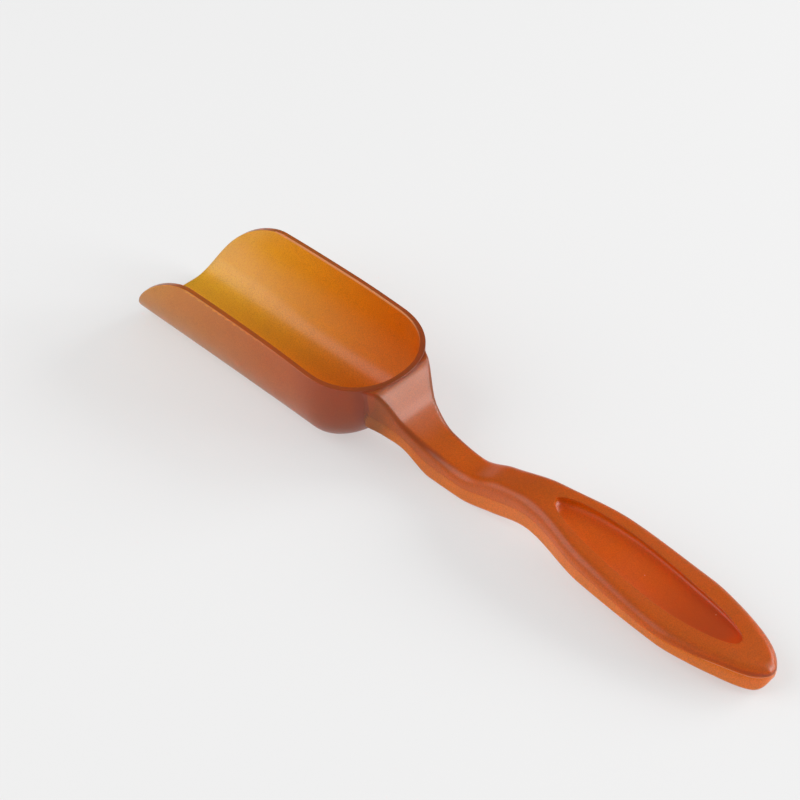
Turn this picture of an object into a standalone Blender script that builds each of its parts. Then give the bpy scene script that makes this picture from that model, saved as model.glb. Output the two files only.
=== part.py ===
"""Soil scoop: a small hand scoop for potting soil, moulded in translucent amber plastic.

Two mouldings make it. The upper one is all that the soil and the hand touch: a deep trough with a
rounded back and an open mouth, a hood that falls from the back of the rim to the waist, and the
upper half of a hollow handle with an oval thumb recess. The lower one closes that handle from
below, along the seam round its side, and a low tongue inside the seam seats it in the upper one.

Distances along the scoop are measured from the butt of the handle towards the mouth, which looks
along +X. The trough stands on Z = 0, and the scoop is the same on both sides of the plane Y = 0.
"""

import math
from dataclasses import dataclass

import bmesh
import bpy
import numpy as np

MM = 0.001

# Driving dimensions of the whole scoop
LENGTH = 190.0 * MM
HANDLE_LENGTH = 107.4 * MM
WALL = 1.4 * MM
FIT_GAP = 0.3 * MM

# The trough: a superellipse section, drawn back to a rounded end behind and cut open in front
TROUGH_DEPTH = 24.2 * MM
HALF_WIDTH_AT_BACK = 17.2 * MM
HALF_WIDTH_AT_MOUTH = 16.6 * MM
BACK_RADIUS = 16.4 * MM
SECTION_POWER = 3.3
PLAN_POWER = 2.15
HEEL_POWER = 2.2
FOOT_SINK = 0.3 * MM
RIM_SHARES = (0.0, 0.4, 0.62, 1.0)
RIM_HEIGHTS = (0.89, 0.99, 1.0, 0.97)
MOUTH_SETBACK = 25.0 * MM
MOUTH_LIP_POWER = 1.64
MOUTH_RIM_POWER = 1.55

# The handle at its widest, and its side and top edges, the top one sharper towards the rim
HANDLE_HALF_WIDTH = 10.7 * MM
TOP_FILLET = 2.8 * MM
TOP_FILLET_PLACES = (0.0, 0.5, 0.8, 0.95, 1.0)
TOP_FILLET_SHARES = (1.0, 0.93, 0.86, 0.5, 0.36)
LEAST_FILLET = 0.3 * MM
UNDER_FILLET = 1.0 * MM
HOOD_STEP = 0.2 * MM
BUTT_ROUND = 14.8 * MM
BUTT_ROLL = 2.2 * MM
BUTT_FLAT = 0.06 * MM
SIDE_DRAFT = 0.03
HOOD_DRAFT = 0.2
HOOD_START = 0.88
HOOD_REACH = 10.0 * MM
STEEPEST = 2.4
HOLLOW_BITE = 0.1 * MM
FILLET_SHARES = (0.4, 0.55)
FILLET_ROOM = 3.6 * MM

# The tongue that stands up inside the seam
TONGUE_HEIGHT = 1.2 * MM
TONGUE_WALL = 0.9 * MM

# The thumb recess: an oval in plan with a steep end towards the trough
RECESS_START = 8.8 * MM
RECESS_END = 60.2 * MM
RECESS_HALF_WIDTH = 5.6 * MM
RECESS_DEPTHS = (1.1 * MM, 2.4 * MM)
RECESS_RUN_IN = 16.0 * MM
RECESS_END_WALL = 3.0 * MM
RECESS_POWER = 3.0
RECESS_TIP = 0.02
RECESS_SUNK = 0.2

# How finely the curved forms are divided
STATION_STEP = 2.4 * MM
CAP_STEPS = 8
SIDE_STEPS = 8
OUTLINE_STEPS = 15
TURN_WORTH = 1.6
SLOPE_STEP = 0.5 * MM
TINY = 0.001 * MM
WELD = 0.005 * MM
TROUGH_LEVELS = 16
BACK_STEPS = 20
STRAIGHT_STEPS = 6
RECESS_STEPS = 26
RECESS_ARCS = 8
CLEAR = 2.0 * MM
SHARP_ANGLE = math.radians(32.0)

AMBER = (0.52, 0.16, 0.035, 1.0)
PALE_AMBER = (0.60, 0.22, 0.06, 1.0)


@dataclass(frozen=True)
class Station:
    """One cross-section of the handle, at a share of its length from the butt to the rim's back.

    The half width is a share of the widest one, the heights are shares of the trough's depth.
    """

    share: float
    half_width: float
    underside: float
    seam: float
    top: float


STATIONS = (
    Station(0.00, 0.738, 0.033, 0.223, 0.302),
    Station(0.08, 0.776, 0.103, 0.281, 0.343),
    Station(0.22, 1.000, 0.161, 0.298, 0.388),
    Station(0.42, 0.897, 0.211, 0.388, 0.529),
    Station(0.58, 0.551, 0.252, 0.442, 0.603),
    Station(0.70, 0.439, 0.087, 0.285, 0.483),
    Station(0.79, 0.449, 0.000, 0.182, 0.326),
    Station(0.88, 0.458, 0.008, 0.202, 0.380),
    Station(0.95, 0.579, 0.186, 0.372, 0.541),
    Station(1.00, 0.850, 0.293, 0.496, 0.860),
    Station(1.05, 1.196, 0.393, 0.620, 0.992),
)


def eased(knots_x, knots_y):
    """A smooth curve through the knots that never overshoots them (monotone cubic pieces)."""
    xs = np.asarray(knots_x, dtype=float)
    ys = np.asarray(knots_y, dtype=float)
    steps = np.diff(xs)
    slopes = np.diff(ys) / steps
    tangents = np.zeros_like(ys)
    tangents[0] = slopes[0]
    tangents[-1] = slopes[-1]
    for i in range(1, len(ys) - 1):
        before, after = slopes[i - 1], slopes[i]
        if before * after > 0.0:
            weight_a = 2.0 * steps[i] + steps[i - 1]
            weight_b = steps[i] + 2.0 * steps[i - 1]
            tangents[i] = (weight_a + weight_b) / (weight_a / before + weight_b / after)

    def value(x):
        i = int(np.clip(np.searchsorted(xs, x) - 1, 0, len(steps) - 1))
        t = float(np.clip((x - xs[i]) / steps[i], 0.0, 1.0))
        start = (1.0 + 2.0 * t) * (1.0 - t) ** 2 * ys[i] + t * (1.0 - t) ** 2 * steps[i] * tangents[i]
        end = t * t * (3.0 - 2.0 * t) * ys[i + 1] + t * t * (t - 1.0) * steps[i] * tangents[i + 1]
        return float(start + end)

    return value


def rounding(distance, length, power=2.0):
    """How far a rounded end has opened at a distance from its tip: 0 at the tip, 1 from `length` on."""
    remaining = min(max(1.0 - distance / length, 0.0), 1.0)
    return (1.0 - remaining ** power) ** (1.0 / power)


station_places = [station.share * HANDLE_LENGTH for station in STATIONS]
handle_half_width = eased(station_places, [s.half_width * HANDLE_HALF_WIDTH for s in STATIONS])
handle_underside = eased(station_places, [s.underside * TROUGH_DEPTH for s in STATIONS])
seam = eased(station_places, [s.seam * TROUGH_DEPTH for s in STATIONS])
handle_top = eased(station_places, [s.top * TROUGH_DEPTH for s in STATIONS])
fillet_share = eased(TOP_FILLET_PLACES, TOP_FILLET_SHARES)
rim_rise = eased(RIM_SHARES, RIM_HEIGHTS)


def rim_height(x):
    """Height of the trough's rim, which rises a little from the back to the middle."""
    return TROUGH_DEPTH * rim_rise((x - HANDLE_LENGTH) / (LENGTH - HANDLE_LENGTH))


def trough_half_width(x):
    """Half width of the trough at its rim, slightly narrower towards the mouth."""
    share = (x - HANDLE_LENGTH) / (LENGTH - HANDLE_LENGTH)
    return HALF_WIDTH_AT_BACK + (HALF_WIDTH_AT_MOUTH - HALF_WIDTH_AT_BACK) * share


def mouth_line(height_share):
    """Where the mouth's edge lies: the bottom lip leads, and the rim's corner is rounded off."""
    fall = (1.0 - height_share ** MOUTH_LIP_POWER) ** (1.0 / MOUTH_RIM_POWER)
    return LENGTH - MOUTH_SETBACK * (1.0 - fall)


def mesh_object(name, points, faces, parent):
    """One named object from points and faces, its coincident points merged and faces outwards."""
    bm = bmesh.new()
    verts = [bm.verts.new(point) for point in points]
    for face in faces:
        corners = list(dict.fromkeys(face))
        if len(corners) > 2:
            bm.faces.new([verts[i] for i in corners])
    bmesh.ops.remove_doubles(bm, verts=bm.verts, dist=WELD)
    bmesh.ops.dissolve_degenerate(bm, edges=bm.edges, dist=WELD)
    bmesh.ops.recalc_face_normals(bm, faces=bm.faces)
    mesh = bpy.data.meshes.new(name)
    bm.to_mesh(mesh)
    bm.free()
    mesh.shade_smooth()
    mesh.set_sharp_from_angle(angle=SHARP_ANGLE)
    obj = bpy.data.objects.new(name, mesh)
    bpy.context.collection.objects.link(obj)
    obj.parent = parent
    return obj


def loft(name, rings, parent):
    """A closed solid through equal rings of points, with a flat face across each end."""
    count = len(rings[0])
    points = [point for ring in rings for point in ring]
    faces = [list(range(count)), list(range(len(points) - count, len(points)))]
    for i in range(len(rings) - 1):
        for j in range(count):
            k = (j + 1) % count
            faces.append([i * count + j, i * count + k, (i + 1) * count + k, (i + 1) * count + j])
    return mesh_object(name, points, faces, parent)


def trough_solid(name, parent, inset=0.0, rise=0.0, reach=None):
    """The trough as a solid block, drawn in by `inset`.

    With `reach` given it runs straight out past the mouth and up by `rise` above the rim, which
    makes it the cavity; without, it ends at the mouth's own rounded edge.
    """
    centre = HANDLE_LENGTH + BACK_RADIUS
    levels = [(1.0 - math.cos(math.pi * i / TROUGH_LEVELS)) / 2.0 for i in range(TROUGH_LEVELS + 1)]
    turns = [math.pi * i / BACK_STEPS for i in range(1, BACK_STEPS)]
    rows = []
    if rise > 0.0:
        levels.insert(0, None)
    for level in levels:
        share = level or 0.0
        side = (1.0 - share ** SECTION_POWER) ** (1.0 / SECTION_POWER)
        back = (1.0 - share ** HEEL_POWER) ** (1.0 / HEEL_POWER)

        def place(x, across):
            rim = rim_height(x)
            z = max(rim - (rim - inset + FOOT_SINK) * share, inset)
            if level is None:
                z = rim + rise
            return (x, (trough_half_width(x) - inset) * side * across, z)

        front = mouth_line(1.0 - share) if reach is None else LENGTH + reach
        run = [front + (centre - front) * i / STRAIGHT_STEPS for i in range(STRAIGHT_STEPS + 1)]
        row = [place(x, 1.0) for x in run]
        for turn in turns:
            along = math.sin(turn) ** (2.0 / PLAN_POWER)
            across = math.copysign(abs(math.cos(turn)) ** (2.0 / PLAN_POWER), math.cos(turn))
            row.append(place(centre - (BACK_RADIUS - inset) * back * along, across))
        row += [place(x, -1.0) for x in reversed(run)]
        rows.append(row)

    count = len(rows[0])
    points = [point for row in rows for point in row]
    faces = []
    for i in range(len(rows) - 1):
        a, b = i * count, (i + 1) * count
        faces += [[a + j, a + j + 1, b + j + 1, b + j] for j in range(count - 1)]
        faces.append([a, b, b + count - 1, a + count - 1])
    last = count - 1
    faces += [[j, j + 1, last - j - 1, last - j] for j in range(last // 2)]
    return mesh_object(name, points, faces, parent)


def trough_plan(x):
    """Half width of the rim's outline, round the trough's back and along its sides."""
    opened = rounding(max(x - HANDLE_LENGTH, 0.0), BACK_RADIUS, PLAN_POWER)
    return trough_half_width(x) * opened


def half_width(x, inset=0.0):
    """Half width of the handle's top edge, closed round the butt; past the hood it hides in the rim."""
    if x > HANDLE_LENGTH * STATIONS[-1].share:
        return trough_plan(x) - HOOD_STEP - inset
    opened = rounding(x - inset + BUTT_FLAT, BUTT_ROUND - inset)
    return (handle_half_width(x) - inset) * opened


def side_lean(x):
    """How much narrower the handle is below than above: hardly at all, but more under the hood."""
    hood = max(0.0, x / HANDLE_LENGTH - HOOD_START) / (1.0 - HOOD_START)
    return SIDE_DRAFT + (HOOD_DRAFT - SIDE_DRAFT) * min(hood, 1.0)


def top(x, inset=0.0):
    """Height of the handle's top, kept just under the trough's rim, rolled over at the butt."""
    surface = min(handle_top(x), rim_height(max(x, HANDLE_LENGTH)) - HOOD_STEP)
    slope = (handle_top(x + SLOPE_STEP) - handle_top(x - SLOPE_STEP)) / (2.0 * SLOPE_STEP)
    surface -= inset * min(math.hypot(1.0, slope), STEEPEST)
    return seam(0.0) + (surface - seam(0.0)) * rounding(x - inset + BUTT_FLAT, BUTT_ROLL)


def top_fillet(x, inset=0.0):
    """Radius of the handle's top edge, which sharpens as the hood climbs to the rim."""
    return max(TOP_FILLET * fillet_share(x / HANDLE_LENGTH) - inset, LEAST_FILLET)


def underside(x):
    """Height of the handle's underside, rolled up to the seam at the butt."""
    return seam(0.0) + (handle_underside(x) - seam(0.0)) * rounding(x + BUTT_FLAT, BUTT_ROLL)


def stations(inset):
    """Places of the handle's rings: close together round the butt, then at an even step."""
    turns = [math.pi / 2.0 * i / CAP_STEPS for i in range(CAP_STEPS)]
    places = [inset + (BUTT_ROUND - inset) * (1.0 - math.cos(turn)) for turn in turns]
    end = HANDLE_LENGTH + HOOD_REACH
    count = round((end - BUTT_ROUND) / STATION_STEP)
    return places + [BUTT_ROUND + (end - BUTT_ROUND) * i / count for i in range(count + 1)]


def side_outline(x, inset, floor, crest, floor_fillet, crest_fillet):
    """The handle's side at x, from floor to crest: leaning in downwards, with a fillet at each end."""
    width = half_width(x, inset)
    height = crest - floor
    low_fillet = min(floor_fillet, FILLET_SHARES[0] * height)
    high_fillet = min(crest_fillet, FILLET_SHARES[1] * height)
    turns = np.linspace(0.0, math.pi / 2.0, OUTLINE_STEPS)
    near, far = 1.0 - np.sin(turns), 1.0 - np.cos(turns)
    drawn_in = min(width / FILLET_ROOM, 1.0) * np.concatenate((low_fillet * near, high_fillet * far))
    heights = np.concatenate((floor + low_fillet * far, crest - high_fillet * near))
    full = max(top(x) - underside(x), WALL)
    lean = side_lean(x) * np.clip((top(x) - heights) / full, 0.0, 1.0)
    return width * (1.0 - lean) - drawn_in, heights


def cut_ring(x, outline, low, high):
    """The ring across the handle that follows the side's outline between two heights.

    Its points stand closer together where the outline turns.
    """
    widths, heights = outline
    kept = (heights > low + TINY) & (heights < high - TINY)
    z = np.concatenate(([low], heights[kept], [high]))
    y = np.interp(z, heights, widths)
    run, climb = np.diff(y), np.diff(z)
    lengths = np.hypot(run, climb)
    turning = np.abs(np.diff(np.arctan2(climb, run), prepend=math.atan2(climb[0], run[0])))
    travel = np.cumsum(np.concatenate(([0.0], lengths / lengths.sum() + turning / TURN_WORTH)))
    places = np.linspace(0.0, travel[-1], SIDE_STEPS + 1)
    side = list(zip(np.interp(places, travel, y), np.interp(places, travel, z)))
    other = [(-y, z) for y, z in reversed(side)]
    return [(x, float(y), float(z)) for y, z in side + other]


def upper_form(parent):
    """Outer form of the handle's upper half, with the hood that runs into the trough's back."""
    rings = []
    for x in stations(0.0):
        outline = side_outline(x, 0.0, underside(x), top(x), UNDER_FILLET, top_fillet(x))
        rings.append(cut_ring(x, outline, seam(x) + FIT_GAP / 2.0, max(top(x), seam(x) + FIT_GAP)))
    return loft("upper_form", rings, parent)


def upper_hollow(parent):
    """The space inside the upper half, open at the seam."""
    rings = []
    for x in stations(WALL):
        floor = seam(x) - CLEAR
        crest = max(top(x, WALL), seam(x) + FIT_GAP)
        outline = side_outline(x, WALL, floor, crest, 0.0, top_fillet(x, WALL))
        rings.append(cut_ring(x, outline, floor, crest))
    return loft("upper_hollow", rings, parent)


def lower_form(parent):
    """Outer form of the handle's lower half, up to the seam."""
    rings = []
    for x in stations(0.0):
        outline = side_outline(x, 0.0, underside(x), top(x), UNDER_FILLET, top_fillet(x))
        low = min(underside(x), seam(x) - FIT_GAP)
        rings.append(cut_ring(x, outline, low, seam(x) - FIT_GAP / 2.0))
    return loft("lower_form", rings, parent)


def tongue_form(parent):
    """The block that the tongue is cut from, a fit's gap inside the upper half's wall."""
    inset = WALL + FIT_GAP
    rings = []
    for x in stations(inset):
        floor = handle_underside(x) + WALL / 2.0
        crest = max(top(x, inset), seam(x) - FIT_GAP)
        outline = side_outline(x, inset, floor, crest, 0.0, top_fillet(x, WALL))
        rings.append(cut_ring(x, outline, floor, min(seam(x) + TONGUE_HEIGHT, crest)))
    return loft("tongue_form", rings, parent)


def lower_hollow(parent):
    """The space inside the lower half and its tongue, open above."""
    inset = WALL + FIT_GAP + TONGUE_WALL
    rings = []
    for x in stations(inset):
        floor = handle_underside(x) + WALL
        crest = seam(x) + TONGUE_HEIGHT + CLEAR
        outline = side_outline(x, inset, floor, crest, 0.0, 0.0)
        rings.append(cut_ring(x, outline, floor, crest))
    return loft("lower_hollow", rings, parent)


def recess_solid(name, parent, grow=0.0, sunk=0.0):
    """The thumb recess: an oval that deepens towards the trough and ends there in a steep wall.

    `grow` makes it larger all round, for the skin that carries its floor. It stands well over the
    handle's top, or with `sunk` given stays below it by that share of its depth.
    """
    middle = (RECESS_START + RECESS_END) / 2.0
    reach = (RECESS_END - RECESS_START) / 2.0 + grow
    rings = []
    for i in range(RECESS_STEPS + 1):
        turn = math.pi * (RECESS_TIP + (1.0 - 2.0 * RECESS_TIP) * i / RECESS_STEPS)
        x = middle - reach * math.cos(turn)
        half = (RECESS_HALF_WIDTH + grow) * math.sin(turn)
        share = (x - RECESS_START) / (RECESS_END - RECESS_START)
        depth = RECESS_DEPTHS[0] + (RECESS_DEPTHS[1] - RECESS_DEPTHS[0]) * share
        depth *= rounding(x - middle + reach, RECESS_RUN_IN)
        depth *= rounding(middle + reach - x, RECESS_END_WALL)
        crown = top(x)
        lid = crown - sunk * depth if sunk > 0.0 else crown + CLEAR
        bowl = []
        for k in range(RECESS_ARCS + 1):
            angle = math.pi * k / RECESS_ARCS
            across = math.copysign(abs(math.cos(angle)) ** (2.0 / RECESS_POWER), math.cos(angle))
            floor = (depth + grow) * math.sin(angle) ** (2.0 / RECESS_POWER)
            bowl.append((x, half * across, min(lid, crown - floor)))
        rings.append([(x, -half, lid), (x, half, lid)] + bowl)
    return loft(name, rings, parent)


def boolean(target, tool, operation):
    """Combine `target` with `tool`, which is kept only as a guide.

    The hood meets the rim and the trough's back in nearly touching faces. Exact intersection loses
    the handle there, so every step is worked out with the solver made for closed surfaces.
    """
    modifier = target.modifiers.new(tool.name, "BOOLEAN")
    modifier.operation = operation
    modifier.solver = "MANIFOLD"
    modifier.object = tool
    tool.hide_render = True
    tool.display_type = "WIRE"


def plastic(name, colour):
    """Frosted amber plastic: dielectric, half dull, letting light through."""
    material = bpy.data.materials.new(name)
    material.use_nodes = True
    shader = material.node_tree.nodes["Principled BSDF"]
    shader.inputs["Base Color"].default_value = colour
    shader.inputs["Metallic"].default_value = 0.0
    shader.inputs["Roughness"].default_value = 0.42
    shader.inputs["Transmission Weight"].default_value = 0.35
    return material


def scoop_body(parent):
    """The upper moulding: trough, hood and the handle's upper half, fused into one shell.

    The hollow stops short of the trough's back and of the skin under the thumb recess, so both
    stay walls of their own thickness.
    """
    body = trough_solid("scoop_body", parent)
    hollow = upper_hollow(parent)
    boolean(hollow, trough_solid("trough_back", parent, HOLLOW_BITE), "DIFFERENCE")
    boolean(hollow, recess_solid("recess_skin", parent, WALL - 2.0 * HOLLOW_BITE), "DIFFERENCE")
    shell = upper_form(parent)
    boolean(shell, recess_solid("recess_floor", parent, WALL - HOLLOW_BITE, RECESS_SUNK), "UNION")
    boolean(shell, hollow, "DIFFERENCE")
    boolean(shell, recess_solid("thumb_recess", parent), "DIFFERENCE")
    boolean(body, shell, "UNION")
    boolean(body, trough_solid("trough_cavity", parent, WALL, CLEAR, CLEAR), "DIFFERENCE")
    body.data.materials.append(plastic("amber_plastic", AMBER))
    return body


def handle_back(parent):
    """The lower moulding: a shallow tray under the handle, with its tongue inside the seam."""
    back = lower_form(parent)
    back.name = "handle_back"
    boolean(back, tongue_form(parent), "UNION")
    boolean(back, lower_hollow(parent), "DIFFERENCE")
    boolean(back, trough_solid("trough_clearance", parent, inset=-FIT_GAP), "DIFFERENCE")
    back.data.materials.append(plastic("pale_amber_plastic", PALE_AMBER))
    return back


def main():
    for obj in list(bpy.data.objects):
        bpy.data.objects.remove(obj, do_unlink=True)
    frame = bpy.data.objects.new("scoop_frame", None)
    bpy.context.collection.objects.link(frame)
    frame.location.x = -LENGTH / 2.0
    scoop_body(frame)
    handle_back(frame)


main()
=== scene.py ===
"""Soil scoop: the looks of a small potting scoop moulded in frosted, translucent amber plastic.

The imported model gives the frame: the scoop lies along X with its mouth towards +X, stands on Z = 0
and is the same on both sides of the plane Y = 0. Its two mouldings are drawn again here as fine
skins of the same form, and dressed in plastic that light passes through. Inside the classes,
distances along the scoop are measured from the butt of the handle.
"""
import logging
import math
from bisect import bisect_left
from dataclasses import dataclass
from enum import Enum
from functools import lru_cache
from typing import Callable, Sequence

import bmesh
import bpy
import numpy as np
from mathutils import Matrix, Vector


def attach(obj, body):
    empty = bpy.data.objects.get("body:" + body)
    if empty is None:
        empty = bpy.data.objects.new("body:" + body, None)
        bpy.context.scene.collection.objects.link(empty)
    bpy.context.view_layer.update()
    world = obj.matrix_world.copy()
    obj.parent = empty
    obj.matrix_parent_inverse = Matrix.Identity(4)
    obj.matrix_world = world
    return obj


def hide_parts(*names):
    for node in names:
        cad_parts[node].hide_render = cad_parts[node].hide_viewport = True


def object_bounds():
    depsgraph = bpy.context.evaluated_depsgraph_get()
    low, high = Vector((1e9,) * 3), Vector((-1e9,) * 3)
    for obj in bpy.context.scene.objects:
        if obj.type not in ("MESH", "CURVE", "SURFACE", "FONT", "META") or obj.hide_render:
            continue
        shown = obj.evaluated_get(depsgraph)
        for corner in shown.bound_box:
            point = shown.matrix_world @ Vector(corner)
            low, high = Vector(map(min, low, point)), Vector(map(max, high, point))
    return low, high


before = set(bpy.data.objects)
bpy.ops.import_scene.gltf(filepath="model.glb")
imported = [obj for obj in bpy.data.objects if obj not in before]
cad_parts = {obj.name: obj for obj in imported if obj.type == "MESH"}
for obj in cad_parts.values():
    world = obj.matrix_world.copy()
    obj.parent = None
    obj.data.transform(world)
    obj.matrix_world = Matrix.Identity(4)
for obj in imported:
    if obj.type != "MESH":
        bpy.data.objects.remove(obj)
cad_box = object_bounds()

MM = 0.001
BUTT_X = cad_box[0].x
LENGTH = cad_box[1].x - cad_box[0].x

WELD = 0.004 * MM
SHARP_ANGLE = math.radians(38.0)
WALL = 1.4 * MM
FIT_GAP = 0.3 * MM
SEAM_LINE = 0.06 * MM
CLEAR = 2.0 * MM
DEEPEST_SHARE = 0.999

# Point attributes that carry painted shade and painted light into the plastic's colour.
SHADE = "edge_shade"
RECESS_SHADE = "recess_painted_shade"
EDGE_HIGHLIGHT = "painted_edge_highlight"
FLOOR_LIGHT = "trough_painted_light"

Section = list[tuple[float, float, float]]
Line = list[tuple[float, float]]
Pair = tuple[float, float]
Knots = tuple[float, ...]
Colour = tuple[float, float, float, float]
Feed = bpy.types.NodeSocket | float | tuple[float, ...]

logging.basicConfig(level=logging.INFO, format="%(name)s: %(message)s")
log = logging.getLogger("soil_scoop")


class BooleanKind(Enum):
    """How one closed skin changes another."""

    JOIN = "UNION"
    CUT = "DIFFERENCE"


class ShaderInput(Enum):
    """Sockets of the plastic's shader that are set by name."""

    COLOUR = "Base Color"
    ROUGHNESS = "Roughness"
    IOR = "IOR"
    TRANSMISSION = "Transmission Weight"
    SHINE = "Specular IOR Level"
    COAT = "Coat Weight"
    COAT_ROUGHNESS = "Coat Roughness"
    NORMAL = "Normal"


@lru_cache(maxsize=None)
def knot_slopes(places: Knots, values: Knots) -> Knots:
    """Slopes at the knots of a curve, flat wherever the curve turns.

    Args:
        places: The knots' places, rising.
        values: The knots' values.

    Returns:
        One slope for each knot.
    """
    steps = [after - before for before, after in zip(places, places[1:])]
    slopes = [(after - before) / step for before, after, step in zip(values, values[1:], steps)]
    tangents = [slopes[0]]
    for i in range(1, len(slopes)):
        before, after = slopes[i - 1], slopes[i]
        weight_a = 2.0 * steps[i] + steps[i - 1]
        weight_b = steps[i] + 2.0 * steps[i - 1]
        turning = before * after <= 0.0
        if turning:
            tangents.append(0.0)
        else:
            tangents.append((weight_a + weight_b) / (weight_a / before + weight_b / after))
    return (*tangents, slopes[-1])


@dataclass(frozen=True)
class Eased:
    """A smooth curve through knots that never overshoots them."""

    places: Knots
    values: Knots

    def __call__(self, x: float) -> float:
        """The curve's value at x, held level past the last knot.

        Args:
            x: Place along the curve, in the knots' unit.

        Returns:
            The value there.
        """
        tangents = knot_slopes(self.places, self.values)
        i = min(max(bisect_left(self.places, x) - 1, 0), len(self.places) - 2)
        step = self.places[i + 1] - self.places[i]
        t = min(max((x - self.places[i]) / step, 0.0), 1.0)
        first, last = self.values[i], self.values[i + 1]
        start = (1.0 + 2.0 * t) * (1.0 - t) ** 2 * first + t * (1.0 - t) ** 2 * step * tangents[i]
        end = t * t * (3.0 - 2.0 * t) * last + t * t * (t - 1.0) * step * tangents[i + 1]
        return start + end


def quarter(share: float, power: float) -> float:
    """Height of a quarter of a superellipse at a share of its base."""
    return (1.0 - share ** power) ** (1.0 / power)


def rounding(distance: float, length: float, power: float = 2.0) -> float:
    """How far a rounded end has opened at a distance from its tip.

    Args:
        distance: Distance from the tip.
        length: Length over which the end opens.
        power: Power of the rounding; 2 is an ellipse.

    Returns:
        0 at the tip, 1 from `length` on.
    """
    return quarter(min(max(1.0 - distance / length, 0.0), 1.0), power)


def mirrored(line: Line) -> Line:
    """The same line on the far side, run the other way."""
    return [(-y, z) for y, z in reversed(line)]


def rounding_off(value: float, span: Pair) -> float:
    """A smooth step from 0 at the span's start to 1 at its end."""
    share = min(max((value - span[0]) / (span[1] - span[0]), 0.0), 1.0)
    return share * share * (3.0 - 2.0 * share)


class Modeller:
    """Makes and joins skins with the modelling operators."""

    @staticmethod
    def clear_selection() -> None:
        """Leave edit mode and deselect every object."""
        if bpy.context.object is not None and bpy.context.object.mode != "OBJECT":
            bpy.ops.object.mode_set(mode="OBJECT")
        bpy.ops.object.select_all(action="DESELECT")

    @classmethod
    def choose(cls, obj: bpy.types.Object) -> None:
        """Make one object the only one that the next operator acts on.

        Args:
            obj: The object to select and make active.
        """
        cls.clear_selection()
        obj.select_set(True)
        bpy.context.view_layer.objects.active = obj

    @classmethod
    def draw_skin(cls, name: str, sections: Sequence[Section], closed: bool) -> bpy.types.Object:
        """Extrude a ring of points from section to section.

        Args:
            name: The new object's name.
            sections: Equal lists of points in metres, measured from the butt.
            closed: Whether each section is a closed ring with its ends capped, or an open line.

        Returns:
            The skin, with its coincident points merged.
        """
        count = len(sections[0])
        cls.clear_selection()
        bpy.ops.mesh.primitive_circle_add(vertices=count, radius=MM, location=(0.0, 0.0, 0.0))
        obj = bpy.context.object
        obj.name = name
        obj.data.name = name
        bpy.ops.object.mode_set(mode="EDIT")
        bpy.ops.mesh.select_mode(type="EDGE")
        if not closed:
            mesh = bmesh.from_edit_mesh(obj.data)
            mesh.verts.ensure_lookup_table()
            closing = mesh.edges.get((mesh.verts[0], mesh.verts[-1]))
            bmesh.ops.delete(mesh, geom=[closing], context="EDGES")
            bmesh.update_edit_mesh(obj.data)
        bpy.ops.mesh.select_all(action="SELECT")
        cls.place_ring(obj, sections[0])
        for section in sections[1:]:
            bpy.ops.mesh.extrude_region_move()
            cls.place_ring(obj, section)
        bpy.ops.mesh.select_all(action="SELECT")
        bpy.ops.mesh.remove_doubles(threshold=WELD)
        bpy.ops.mesh.dissolve_degenerate(threshold=WELD)
        bpy.ops.mesh.select_all(action="SELECT")
        if closed:
            bpy.ops.mesh.fill_holes(sides=0)
        bpy.ops.mesh.normals_make_consistent(inside=False)
        if closed and bmesh.from_edit_mesh(obj.data).calc_volume(signed=True) < 0.0:
            bpy.ops.mesh.flip_normals()
        bpy.ops.object.mode_set(mode="OBJECT")
        return obj

    @staticmethod
    def place_ring(obj: bpy.types.Object, section: Section) -> None:
        """Move the newest ring of points onto a section.

        Args:
            obj: The skin, in edit mode.
            section: The points' places, measured from the butt.
        """
        mesh = bmesh.from_edit_mesh(obj.data)
        mesh.verts.ensure_lookup_table()
        for vert, (x, y, z) in zip(mesh.verts[-len(section):], section):
            vert.co = (BUTT_X + x, y, z)
        bmesh.update_edit_mesh(obj.data)

    @classmethod
    def apply(cls, obj: bpy.types.Object, kind: str, name: str, **settings: object) -> None:
        """Put a modifier on an object, set it and apply it.

        Args:
            obj: The object to change.
            kind: The modifier's type.
            name: The modifier's name.
            **settings: Values for the modifier's properties.
        """
        cls.choose(obj)
        modifier = obj.modifiers.new(name, kind)
        for key, value in settings.items():
            setattr(modifier, key, value)
        bpy.ops.object.modifier_apply(modifier=modifier.name)

    @classmethod
    def combine(cls, obj: bpy.types.Object, tool: bpy.types.Object, kind: BooleanKind) -> None:
        """Join a skin to another or cut it, and remove the tool.

        Args:
            obj: The closed skin to change.
            tool: The closed skin that changes it.
            kind: Whether the tool is joined on or cut away.
        """
        settings = {"operation": kind.value, "solver": "MANIFOLD", "object": tool}
        cls.apply(obj, "BOOLEAN", tool.name, **settings)
        bpy.data.objects.remove(tool, do_unlink=True)

    @classmethod
    def smooth(cls, obj: bpy.types.Object) -> None:
        """Shade an object smooth, with its sharp edges kept."""
        cls.choose(obj)
        bpy.ops.object.shade_smooth_by_angle(angle=SHARP_ANGLE)


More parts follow.
